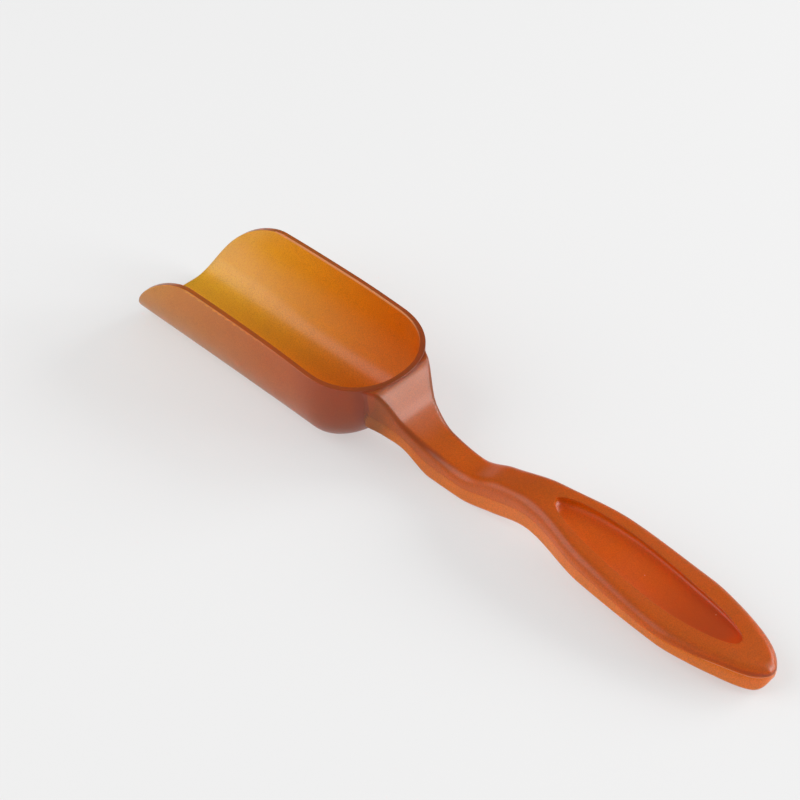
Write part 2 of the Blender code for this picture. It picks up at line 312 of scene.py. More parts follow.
@dataclass(frozen=True)
class Trough:
    """The trough: a superellipse section, rounded off behind and cut open in front."""

    start: float = 107.4 * MM
    end: float = LENGTH
    depth: float = 24.2 * MM
    half_width_at_back: float = 17.2 * MM
    half_width_at_mouth: float = 16.6 * MM
    back_radius: float = 16.4 * MM
    section_power: float = 3.3
    plan_power: float = 2.15
    heel_power: float = 2.2
    foot_sink: float = 0.3 * MM
    foot_ease: float = 0.2 * MM
    rim: Eased = Eased((0.0, 0.4, 0.62, 1.0), (0.89, 0.99, 1.0, 0.97))
    mouth_setback: float = 25.0 * MM
    mouth_lip_power: float = 1.64
    mouth_rim_power: float = 1.55
    rim_round: float = 0.3 * MM
    rim_segments: int = 4
    rim_angle: float = math.radians(50.0)
    first_line: float = 0.016
    levels: int = 44
    back_steps: int = 56
    straight_steps: int = 48

    def rim_height(self, x: float) -> float:
        """Height of the rim, which rises a little from the back to the middle."""
        return self.depth * self.rim((x - self.start) / (self.end - self.start))

    def half_width(self, x: float) -> float:
        """Half width at the rim, slightly narrower towards the mouth."""
        narrowing = self.half_width_at_mouth - self.half_width_at_back
        return self.half_width_at_back + narrowing * ((x - self.start) / (self.end - self.start))

    def plan(self, x: float) -> float:
        """Half width of the rim's outline, round the back and along the sides."""
        behind = max(x - self.start, 0.0)
        return self.half_width(x) * rounding(behind, self.back_radius, self.plan_power)

    def outline(self, x: float, height: float) -> float:
        """Half width of the trough's outer surface.

        Args:
            x: Place along the scoop.
            height: Height above the table.

        Returns:
            The half width there, 0 behind the trough's back.
        """
        rim = self.rim_height(x)
        share = min(max((rim - height) / rim, 0.0), DEEPEST_SHARE)
        side = quarter(share, self.section_power)
        back = quarter(share, self.heel_power)
        behind = max(x - self.start - self.back_radius * (1.0 - back), 0.0)
        opened = rounding(behind, self.back_radius * back, self.plan_power)
        return self.half_width(x) * side * opened

    def mouth_line(self, height_share: float) -> float:
        """Where the mouth's edge lies: the bottom lip leads and the rim's corner is rounded off."""
        fall = (1.0 - height_share ** self.mouth_lip_power) ** (1.0 / self.mouth_rim_power)
        return self.end - self.mouth_setback * (1.0 - fall)

    def row(
        self, share: float, inset: float, lift: float = 0.0, reach: float | None = None,
    ) -> Section:
        """One line round the trough at a share of its depth, from the mouth round to the mouth.

        Args:
            share: Share of the depth below the rim.
            inset: How far the line is drawn in from the outer surface.
            lift: Height to add, for the lid of a cutter.
            reach: How far past the mouth to run, or None to end at the mouth's edge.

        Returns:
            The line's points.
        """
        centre = self.start + self.back_radius
        side = quarter(share, self.section_power)
        back = quarter(share, self.heel_power)
        front = self.mouth_line(1.0 - share) if reach is None else self.end + reach

        def place(x: float, across: float) -> tuple[float, float, float]:
            """A point of the line.

            Args:
                x: Place along the scoop.
                across: Share of the line's half width.

            Returns:
                The point.
            """
            rim = self.rim_height(x)
            sunk = rim - (rim - inset + self.foot_sink) * share - inset
            z = inset + (sunk + math.hypot(sunk, self.foot_ease)) / 2.0
            return (x, (self.half_width(x) - inset) * side * across, min(z, rim) + lift)

        steps = self.straight_steps
        run = [front + (centre - front) * i / steps for i in range(steps + 1)]
        line = [place(x, 1.0) for x in run]
        for i in range(1, self.back_steps):
            turn = math.pi * i / self.back_steps
            along = math.sin(turn) ** (2.0 / self.plan_power)
            cosine = math.cos(turn)
            across = math.copysign(abs(cosine) ** (2.0 / self.plan_power), cosine)
            line.append(place(centre - (self.back_radius - inset) * back * along, across))
        return line + [place(x, -1.0) for x in reversed(run)]

    def shares(self) -> list[float]:
        """Shares of the depth at which lines are drawn, closer together towards the bottom."""
        turns = [math.pi / 2.0 * i / self.levels for i in range(1, self.levels + 1)]
        return [0.0, self.first_line] + [math.sin(turn) for turn in turns]

    def shell(self, name: str) -> bpy.types.Object:
        """The trough's wall with its rim rounded over.

        Args:
            name: The new object's name.

        Returns:
            The closed shell, its rim's faces in the second material.
        """
        rows = [self.row(share, 0.0) for share in self.shares()]
        obj = Modeller.draw_skin(name, rows, closed=False)
        self.face_outwards(obj)
        for slot in ("wall", "rim"):
            obj.data.materials.append(bpy.data.materials.new(slot))
        Modeller.apply(
            obj, "SOLIDIFY", "wall", thickness=WALL, offset=-1.0, use_even_offset=True,
            material_offset_rim=1,
        )
        Modeller.apply(
            obj, "BEVEL", "rim_round", width=self.rim_round, segments=self.rim_segments,
            limit_method="ANGLE", angle_limit=self.rim_angle, use_clamp_overlap=True,
        )
        return obj

    @staticmethod
    def face_outwards(obj: bpy.types.Object) -> None:
        """Turn the open skin's faces away from the trough's inside.

        Args:
            obj: The skin before it gets its thickness.
        """
        lowest = min(obj.data.polygons, key=lambda face: face.center.z)
        if lowest.normal.z > 0.0:
            Modeller.choose(obj)
            bpy.ops.object.mode_set(mode="EDIT")
            bpy.ops.mesh.select_all(action="SELECT")
            bpy.ops.mesh.flip_normals()
            bpy.ops.object.mode_set(mode="OBJECT")

    def block(self, name: str, inset: float) -> bpy.types.Object:
        """A closed block that fills the trough, run out past the mouth and up past the rim.

        Args:
            name: The new object's name.
            inset: How far the block is drawn in from the trough's outer surface.

        Returns:
            The block.
        """
        lid = self.row(0.0, inset, lift=CLEAR, reach=CLEAR)
        rows = [lid] + [self.row(share, inset, reach=CLEAR) for share in self.shares()]
        return Modeller.draw_skin(name, rows, closed=True)


@dataclass(frozen=True)
class Recess:
    """The thumb recess: a long oval, deeper towards the trough, that ends there in a steep wall."""

    start: float = 8.8 * MM
    end: float = 60.2 * MM
    widest: float = 5.6 * MM
    shallow: float = 1.1 * MM
    deep: float = 2.4 * MM
    run_in: float = 16.0 * MM
    end_wall: float = 3.0 * MM
    power: float = 3.2
    lip: float = 0.16 * MM
    lip_limit: float = 0.4
    flat_limit: float = 0.97
    flat_stops: tuple[float, ...] = (0.75, 0.5, 0.25)
    bowl_steps: int = 24
    lip_steps: int = 4
    along_steps: int = 64

    @property
    def middle(self) -> float:
        """Where the oval is widest."""
        return (self.start + self.end) / 2.0

    def reach(self, grow: float) -> float:
        """Half the oval's length."""
        return (self.end - self.start) / 2.0 + grow

    def half_width(self, x: float, grow: float = 0.0) -> float:
        """Half width of the oval at x, 0 outside it."""
        along = (x - self.middle) / self.reach(grow)
        return (self.widest + grow) * math.sqrt(max(1.0 - along * along, 0.0))

    def depth(self, x: float, grow: float = 0.0) -> float:
        """Depth of the floor below the handle's top on the middle line.

        Args:
            x: Place along the handle.
            grow: How much larger than the recess the oval is.

        Returns:
            The depth, 0 outside the oval.
        """
        share = min(max((x - self.start) / (self.end - self.start), 0.0), 1.0)
        depth = self.shallow + (self.deep - self.shallow) * share
        depth *= rounding(x - self.middle + self.reach(grow), self.run_in)
        return depth * rounding(self.middle + self.reach(grow) - x, self.end_wall)

    def places(self, grow: float) -> list[float]:
        """Places along the oval for sections, close together at its tips."""
        turns = [math.pi * i / self.along_steps for i in range(self.along_steps + 1)]
        return [self.middle - self.reach(grow) * math.cos(turn) for turn in turns]

    def across(self, x: float, flat_end: float, crest: float, grow: float) -> Line:
        """The handle's top line from the near flat to the far one, down through the recess.

        Args:
            x: Place along the handle.
            flat_end: Half width of the flat top there.
            crest: Height of the flat top there.
            grow: How much larger than the recess the oval is, for the skin under it.

        Returns:
            Points (y, z) between the two ends of the flat top.
        """
        depth = self.depth(x, grow)
        lip = min(self.lip, self.lip_limit * depth)
        half = max(min(self.half_width(x, grow), flat_end * self.flat_limit - lip), 0.0)
        near = [(half + lip - lip * math.sin(a), crest - lip * (1.0 - math.cos(a)))
                for a in np.linspace(0.0, math.pi / 2.0, self.lip_steps + 1)]
        bowl = []
        for a in np.linspace(0.0, math.pi, self.bowl_steps + 1)[1:-1]:
            along = math.copysign(abs(math.cos(a)) ** (2.0 / self.power), math.cos(a))
            sunk = (depth - lip) * math.sin(a) ** (2.0 / self.power)
            bowl.append((half * along, crest - lip - sunk))
        flat = [(half + lip + (flat_end - half - lip) * t, crest) for t in self.flat_stops]
        return flat + near + bowl + mirrored(near) + mirrored(flat)


@dataclass(frozen=True)
class Handle:
    """The handle: two shells drawn along an S-curve, the upper one running up into the hood."""

    trough: Trough
    recess: Recess
    shares: Knots = (0.0, 0.08, 0.22, 0.42, 0.58, 0.70, 0.79, 0.88, 0.95, 1.0, 1.05)
    half_widths: Knots = (.738, .776, 1.0, .897, .551, .439, .449, .458, .579, .85, 1.196)
    undersides: Knots = (.033, .103, .161, .211, .252, .087, 0.0, .008, .186, .293, .393)
    seams: Knots = (.223, .281, .298, .388, .442, .285, .182, .202, .372, .496, .62)
    tops: Knots = (.302, .343, .388, .529, .603, .483, .326, .38, .541, .86, .992)
    widest: float = 10.7 * MM
    top_fillet: float = 2.8 * MM
    fillet_shares: Eased = Eased((0.0, 0.5, 0.8, 0.95, 1.0), (1.0, 0.93, 0.86, 0.5, 0.36))
    under_fillet: float = 1.0 * MM
    least_fillet: float = 0.3 * MM
    hood_start: float = 0.88
    hood_step: float = 0.2 * MM
    hood_reach: float = 10.0 * MM
    side_draft: float = 0.03
    hood_draft: float = 0.2
    steepest: float = 2.4
    butt_round: float = 14.8 * MM
    butt_roll: float = 2.2 * MM
    butt_flat: float = 0.03 * MM
    tongue_height: float = 1.2 * MM
    tongue_wall: float = 0.9 * MM
    fillet_limits: Pair = (0.4, 0.55)
    fillet_room: float = 3.6 * MM
    run_out_reach: float = 1.4 * MM
    run_out_depth: float = 4.0 * MM
    slope_step: float = 0.5 * MM
    cap_steps: int = 26
    station_step: float = 1.1 * MM
    hood_lead: float = 1.0 * MM
    hood_station_step: float = 0.35 * MM
    side_steps: int = 20
    arc_steps: int = 13
    turn_worth: float = 1.6

    @lru_cache(maxsize=None)
    def curve(self, values: Knots, unit: float) -> Eased:
        """Shares of a dimension at the stations, eased along the handle's length."""
        places = tuple(share * self.trough.start for share in self.shares)
        return Eased(places, tuple(value * unit for value in values))

    def half_width(self, x: float, inset: float = 0.0) -> float:
        """Half width of the top edge, closed round the butt; past the hood it hides in the rim.

        Args:
            x: Place along the handle, from the butt.
            inset: How far the edge is drawn in from the outer surface.

        Returns:
            The half width.
        """
        if x > self.trough.start * self.shares[-1]:
            return self.trough.plan(x) - self.hood_step - inset
        opened = rounding(x - inset + self.butt_flat, self.butt_round - inset)
        return (self.curve(self.half_widths, self.widest)(x) - inset) * opened

    def seam(self, x: float) -> float:
        """Height of the seam between the shells."""
        return self.curve(self.seams, self.trough.depth)(x)

    def top(self, x: float, inset: float = 0.0) -> float:
        """Height of the top, kept just under the trough's rim and rolled over at the butt.

        Args:
            x: Place along the handle, from the butt.
            inset: How far the top is drawn in from the outer surface.

        Returns:
            The height.
        """
        crown = self.curve(self.tops, self.trough.depth)
        rim = self.trough.rim_height(max(x, self.trough.start))
        surface = min(crown(x), rim - self.hood_step)
        slope = (crown(x + self.slope_step) - crown(x - self.slope_step)) / (2.0 * self.slope_step)
        surface -= inset * min(math.hypot(1.0, slope), self.steepest)
        roll = rounding(x - inset + self.butt_flat, self.butt_roll)
        return self.seam(0.0) + (surface - self.seam(0.0)) * roll

    def underside(self, x: float, plain: bool = False) -> float:
        """Height of the underside.

        Args:
            x: Place along the handle, from the butt.
            plain: Whether to leave out its roll up to the seam at the butt.

        Returns:
            The height.
        """
        height = self.curve(self.undersides, self.trough.depth)(x)
        roll = 1.0 if plain else rounding(x + self.butt_flat, self.butt_roll)
        return self.seam(0.0) + (height - self.seam(0.0)) * roll

    def lean(self, x: float) -> float:
        """How much narrower the handle is below than above: hardly at all, more under the hood."""
        hood = max(0.0, x / self.trough.start - self.hood_start) / (1.0 - self.hood_start)
        return self.side_draft + (self.hood_draft - self.side_draft) * min(hood, 1.0)

    def stations(self, inset: float, recess: bool) -> list[float]:
        """Places of the sections, closer together round the butt and at the recess's tips.

        Args:
            inset: How far the sections are drawn in from the outer surface.
            recess: Whether the recess's own places are among them.

        Returns:
            The places, rising.
        """
        turns = [math.pi / 2.0 * i / self.cap_steps for i in range(self.cap_steps)]
        places = [inset + (self.butt_round - inset) * (1.0 - math.cos(turn)) for turn in turns]
        end = self.trough.start + self.hood_reach
        hood = self.trough.start - self.hood_lead
        runs = ((self.butt_round, hood, self.station_step), (hood, end, self.hood_station_step))
        for start, stop, step in runs:
            count = round((stop - start) / step)
            places += [start + (stop - start) * i / count for i in range(count)]
        places.append(end)
        if recess:
            oval = self.recess.places(inset)
            places = [x for x in places if not oval[0] < x < oval[-1]] + oval
        places.sort()
        return places

    def side(self, x: float, inset: float, span: Pair, ends: Pair, fillets: Pair) -> Line:
        """The side's line at x between two heights, its points closer together where it turns.

        Args:
            x: Place along the handle.
            inset: How far the line is drawn in from the outer surface.
            span: Floor and crest of the whole section.
            ends: Heights between which the line is kept.
            fillets: Radii at the floor and at the crest.

        Returns:
            Points (y, z) on the near side, from the lower end up.
        """
        width = self.half_width(x, inset)
        floor, crest = span
        low, high = (min(r, s * (crest - floor)) for r, s in zip(fillets, self.fillet_limits))
        turns = np.linspace(0.0, math.pi / 2.0, self.arc_steps)
        near, far = 1.0 - np.sin(turns), 1.0 - np.cos(turns)
        room = min(width / self.fillet_room, 1.0)
        heights = np.concatenate((floor + low * far, crest - high * near))
        full = max(self.top(x) - self.underside(x), WALL)
        below = np.clip((self.top(x) - heights) / full, 0.0, 1.0)
        drawn_in = room * np.concatenate((low * near, high * far))
        widths = width * (1.0 - self.lean(x) * below) - drawn_in
        widths = np.array([self.run_out(x, y, z) for y, z in zip(widths, heights)])
        kept = (heights > ends[0] + WELD) & (heights < ends[1] - WELD)
        z = np.concatenate(([ends[0]], heights[kept], [ends[1]]))
        y = np.interp(z, heights, widths)
        run, climb = np.diff(y), np.diff(z)
        lengths = np.hypot(run, climb)
        turning = np.abs(np.diff(np.arctan2(climb, run), prepend=math.atan2(climb[0], run[0])))
        worth = lengths / lengths.sum() + turning / self.turn_worth
        travel = np.cumsum(np.concatenate(([0.0], worth)))
        stops = np.linspace(0.0, travel[-1], self.side_steps + 1)
        return list(zip(*(np.interp(stops, travel, values).tolist() for values in (y, z))))

    def run_out(self, x: float, width: float, height: float) -> float:
        """Draw the side in below the top, where it is about to meet the trough.

        Args:
            x: Place along the handle, from the butt.
            width: The side's half width.
            height: Height of the point.

        Returns:
            The half width to use.
        """
        outline = self.trough.outline(x, height)
        if outline <= 0.0:
            return width
        below = min(max((self.top(x) - height) / self.run_out_depth, 0.0), 1.0)
        excess = max(width - outline, 0.0) / self.run_out_reach
        return max(width - below * self.run_out_reach * math.exp(-excess * excess), WALL / 2.0)

    def fillet(self, x: float, inset: float = 0.0) -> float:
        """Radius of the top edge, which sharpens towards the rim."""
        radius = self.top_fillet * self.fillet_shares(x / self.trough.start)
        return max(radius - inset, self.least_fillet)

    def upper_form(self) -> bpy.types.Object:
        """Outer form of the upper shell, with the hood and the thumb recess.

        Returns:
            The closed skin.
        """
        sections = []
        for x in self.stations(0.0, recess=True):
            low = self.seam(x) + SEAM_LINE / 2.0
            crest = max(self.top(x), low + FIT_GAP / 2.0)
            span = (self.underside(x), self.top(x))
            side = self.side(x, 0.0, span, (low, crest), (self.under_fillet, self.fillet(x)))
            over = self.recess.across(x, side[-1][0], crest, 0.0)
            sections.append(self.ring(x, side, over, self.pod_line(x, side[0][0], low)))
        return Modeller.draw_skin("upper_form", sections, closed=True)

    def pod_line(self, x: float, width: float, low: float) -> Line:
        """The upper shell's lower line from the far side to the near one, sagging at the recess.

        Args:
            x: Place along the handle, from the butt.
            width: Half width of the section at its lower edge.
            low: Height of that edge.

        Returns:
            Points (y, z) between the two lower edges.
        """
        crest = self.top(x, WALL) - FIT_GAP / 3.0
        line = self.recess.across(x, width, crest, WALL)
        return [(-y, min(z, low)) for y, z in line]

    def upper_hollow(self) -> bpy.types.Object:
        """The space inside the upper shell, open at the seam.

        Returns:
            The closed skin to cut with.
        """
        sections = []
        for x in self.stations(WALL, recess=True):
            floor = self.seam(x) - 2.0 * CLEAR
            crest = max(self.top(x, WALL), self.seam(x) + FIT_GAP)
            side = self.side(x, WALL, (floor, crest), (floor, crest), (0.0, self.fillet(x, WALL)))
            over = self.recess.across(x, side[-1][0], crest, WALL)
            sections.append(self.ring(x, side, over, []))
        return Modeller.draw_skin("upper_hollow", sections, closed=True)

    def lower_form(self, name: str) -> bpy.types.Object:
        """Outer form of the lower shell, up to the seam.

        Args:
            name: The new object's name.

        Returns:
            The closed skin.
        """
        sections = []
        for x in self.stations(0.0, recess=False):
            high = self.seam(x) - SEAM_LINE / 2.0
            low = min(self.underside(x), high - FIT_GAP / 2.0)
            span = (self.underside(x), self.top(x))
            side = self.side(x, 0.0, span, (low, high), (self.under_fillet, self.fillet(x)))
            sections.append(self.ring(x, side, [], []))
        return Modeller.draw_skin(name, sections, closed=True)

    def tongue_form(self) -> bpy.types.Object:
        """The block that the tongue is cut from, a fit's gap inside the upper shell's wall.

        Returns:
            The closed skin.
        """
        inset = WALL + FIT_GAP
        sections = []
        for x in self.stations(inset, recess=False):
            floor = self.underside(x, plain=True) + WALL / 2.0
            crest = max(self.top(x, inset), self.seam(x) - FIT_GAP)
            high = min(self.seam(x) + self.tongue_height, crest)
            side = self.side(x, inset, (floor, crest), (floor, high), (0.0, self.fillet(x, WALL)))
            sections.append(self.ring(x, side, [], []))
        return Modeller.draw_skin("tongue_form", sections, closed=True)

    def lower_hollow(self) -> bpy.types.Object:
        """The space inside the lower shell and its tongue, open above.

        Returns:
            The closed skin to cut with.
        """
        inset = WALL + FIT_GAP + self.tongue_wall
        sections = []
        for x in self.stations(inset, recess=False):
            floor = self.underside(x, plain=True) + WALL
            span = (floor, self.seam(x) + self.tongue_height + CLEAR)
            side = self.side(x, inset, span, span, (0.0, 0.0))
            sections.append(self.ring(x, side, [], []))
        return Modeller.draw_skin("lower_hollow", sections, closed=True)

    @staticmethod
    def ring(x: float, side: Line, over: Line, under: Line) -> Section:
        """A closed section: up the near side, over the top, down the far side and back below."""
        return [(x, y, z) for y, z in side + over + mirrored(side) + under]


class ShaderGraph:
    """Adds nodes to a material or a world and links them."""

    def __init__(self, tree: bpy.types.NodeTree) -> None:
        """Keep the tree that the nodes go into."""
        self.tree = tree

    def feed(self, socket: bpy.types.NodeSocket, value: Feed) -> None:
        """Link a socket to another one, or set its own value.

        Args:
            socket: The input.
            value: What feeds it.
        """
        if isinstance(value, bpy.types.NodeSocket):
            self.tree.links.new(value, socket)
        else:
            socket.default_value = value

    def node(
        self, kind: str, feeds: dict[str | int, Feed] | None = None, **settings: object,
    ) -> bpy.types.Node:
        """Add a node.

        Args:
            kind: The node's type.
            feeds: Values or sockets for its inputs.
            **settings: Values for its own properties.

        Returns:
            The new node.
        """
        node = self.tree.nodes.new(kind)
        for key, value in settings.items():
            setattr(node, key, value)
        for key, value in (feeds or {}).items():
            self.feed(node.inputs[key], value)
        return node

    def maths(self, operation: str, first: Feed, second: Feed) -> bpy.types.NodeSocket:
        """The result of an operation on two values."""
        node = self.node("ShaderNodeMath", {0: first, 1: second}, operation=operation)
        return node.outputs[0]

    def span(
        self, value: Feed, low: float, high: float, to: Pair = (0.0, 1.0),
    ) -> bpy.types.NodeSocket:
        """Carry a value smoothly from one span to another and hold it at the ends.

        Args:
            value: The value.
            low: Start of its span.
            high: End of its span.
            to: The span to carry it to.

        Returns:
            The result's socket.
        """
        feeds = {"Value": value, "From Min": low, "From Max": high}
        feeds.update({"To Min": to[0], "To Max": to[1]})
        node = self.node("ShaderNodeMapRange", feeds, interpolation_type="SMOOTHSTEP")
        return node.outputs["Result"]

    def blend(self, share: Feed, first: Feed, second: Feed) -> bpy.types.NodeSocket:
        """A colour between two colours."""
        node = self.node("ShaderNodeMix", {0: share, 6: first, 7: second}, data_type="RGBA")
        return node.outputs[2]

    def noise(self, place: Feed, scale: float, detail: float = 2.0) -> bpy.types.NodeSocket:
        """A cloudy value from 0 to 1 whose features repeat `scale` times per metre."""
        feeds = {"Vector": place, "Scale": scale, "Detail": detail}
        return self.node("ShaderNodeTexNoise", feeds).outputs["Fac"]


@dataclass(frozen=True)
class AmberPlastic:
    """Frosted translucent plastic: light passes through it and is coloured on the way.

    Painted light and shade are laid into its colour: it turns yellower towards the mouth, darker
    where a wall is seen edge-on, deeper red on the thumb recess's floor, and pale in painted
    highlights along the rim and the seam and in a band inside the trough. It is also faintly cloudy,
    finely grained, and holds a few pale specks.
    """

    name: str
    colour: Colour
    mouth_colour: Colour
    dark_colour: Colour = (0.32, 0.09, 0.022, 1.0)
    recess_shade_colour: Colour = (0.66, 0.095, 0.0005, 1.0)
    speck_colour: Colour = (1.0, 0.62, 0.32, 1.0)
    highlight_colour: Colour = (1.0, 0.6, 0.26, 1.0)
    highlight_span: Pair = (0.5, 0.9)
    floor_light_colour: Colour = (1.0, 0.75, 0.4, 1.0)
    depth_colour: Colour = (0.985, 0.4, 0.05, 1.0)
    density: float = 600.0
    transmission: float = 0.62
    roughness: float = 0.4
    roughness_play: float = 0.06
    ior: float = 1.22
    coat: float = 0.45
    coat_roughness: float = 0.3
    shine: float = 0.35
    fade: Pair = (14.0 * MM, 92.0 * MM)
    cloud_scale: float = 260.0
    cloud_share: float = 0.08
    cloud_span: Pair = (0.35, 0.75)
    grain_scale: float = 3400.0
    grain_height: float = 0.015 * MM
    grain_play: Pair = (0.82, 1.18)
    grain_span: Pair = (0.3, 0.7)
    grain_detail: float = 3.0
    wear_detail: float = 4.0
    speck_scale: float = 330.0
    speck_size: float = 0.05
    speck_share: float = 0.2

    def colouring(self, graph: ShaderGraph, place: bpy.types.NodeSocket) -> bpy.types.NodeSocket:
        """The plastic's own colour over its surface.

        Args:
            graph: The material's graph.
            place: Object coordinates.

        Returns:
            The colour's socket.
        """
        along = graph.node("ShaderNodeSeparateXYZ", {"Vector": place}).outputs["X"]
        # Painted light: the colour turns yellower towards the mouth, where more light comes through
        # the plastic.
        colour = graph.blend(graph.span(along, *self.fade), self.colour, self.mouth_colour)
        cloud = graph.noise(place, self.cloud_scale, self.grain_detail)
        cloud = graph.span(cloud, *self.cloud_span, (0.0, self.cloud_share))
        colour = graph.blend(cloud, colour, self.dark_colour)
        grain = graph.noise(place, self.grain_scale, self.grain_detail)
        grain = graph.span(grain, *self.grain_span, self.grain_play)
        grained = graph.node("ShaderNodeHueSaturation", {"Value": grain, "Color": colour})
        colour = grained.outputs["Color"]
        # Painted shade: the thumb recess's floor turns a deeper, redder colour.
        recess_shade = graph.node("ShaderNodeAttribute", attribute_name=RECESS_SHADE).outputs["Fac"]
        colour = graph.blend(recess_shade, colour, self.recess_shade_colour)
        # Painted shade: darker at the rim, the ridge, the grip, the hood and the back of the trough.
        shade = graph.node("ShaderNodeAttribute", attribute_name=SHADE).outputs["Fac"]
        colour = graph.blend(shade, colour, self.dark_colour)
        # Painted light: a pale band along the foot of the trough's inside walls.
        floor_light = graph.node("ShaderNodeAttribute", attribute_name=FLOOR_LIGHT).outputs["Fac"]
        colour = graph.blend(floor_light, colour, self.floor_light_colour)
        # Painted highlight: a pale line along the rim's edge and the seam's edges.
        edge_highlight = graph.node("ShaderNodeAttribute", attribute_name=EDGE_HIGHLIGHT).outputs["Fac"]
        colour = graph.blend(graph.span(edge_highlight, *self.highlight_span), colour, self.highlight_colour)
        cells = graph.node("ShaderNodeTexVoronoi", {"Vector": place, "Scale": self.speck_scale})
        picked = graph.maths("LESS_THAN", cells.outputs["Color"], self.speck_share)
        near = graph.span(cells.outputs["Distance"], self.speck_size, self.speck_size / 2.0)
        return graph.blend(graph.maths("MULTIPLY", picked, near), colour, self.speck_colour)

    def make(self) -> bpy.types.Material:
        """Build the material.

        Returns:
            The new material.
        """
        material = bpy.data.materials.new(self.name)
        material.use_nodes = True
        graph = ShaderGraph(material.node_tree)
        place = graph.node("ShaderNodeTexCoord").outputs["Object"]
        grain = graph.noise(place, self.grain_scale, self.grain_detail)
        wear = graph.noise(place, self.cloud_scale / 2.0, self.wear_detail)
        dullness = (self.roughness - self.roughness_play, self.roughness + self.roughness_play)
        heights = {"Height": grain, "Distance": self.grain_height, "Strength": 1.0}
        bump = graph.node("ShaderNodeBump", heights)
        shader = material.node_tree.nodes["Principled BSDF"]
        feeds: dict[ShaderInput, Feed] = {
            ShaderInput.COLOUR: self.colouring(graph, place),
            ShaderInput.ROUGHNESS: graph.span(wear, *self.grain_span, dullness),
            ShaderInput.IOR: self.ior,
            ShaderInput.TRANSMISSION: self.transmission,
            ShaderInput.SHINE: self.shine,
            ShaderInput.COAT: self.coat,
            ShaderInput.COAT_ROUGHNESS: self.coat_roughness,
            ShaderInput.NORMAL: bump.outputs["Normal"],
        }
        for key, value in feeds.items():
            graph.feed(shader.inputs[key.value], value)
        tint = {"Color": self.depth_colour, "Density": self.density}
        depth = graph.node("ShaderNodeVolumeAbsorption", tint)
        output = material.node_tree.nodes["Material Output"]
        graph.feed(output.inputs["Volume"], depth.outputs["Volume"])
        return material


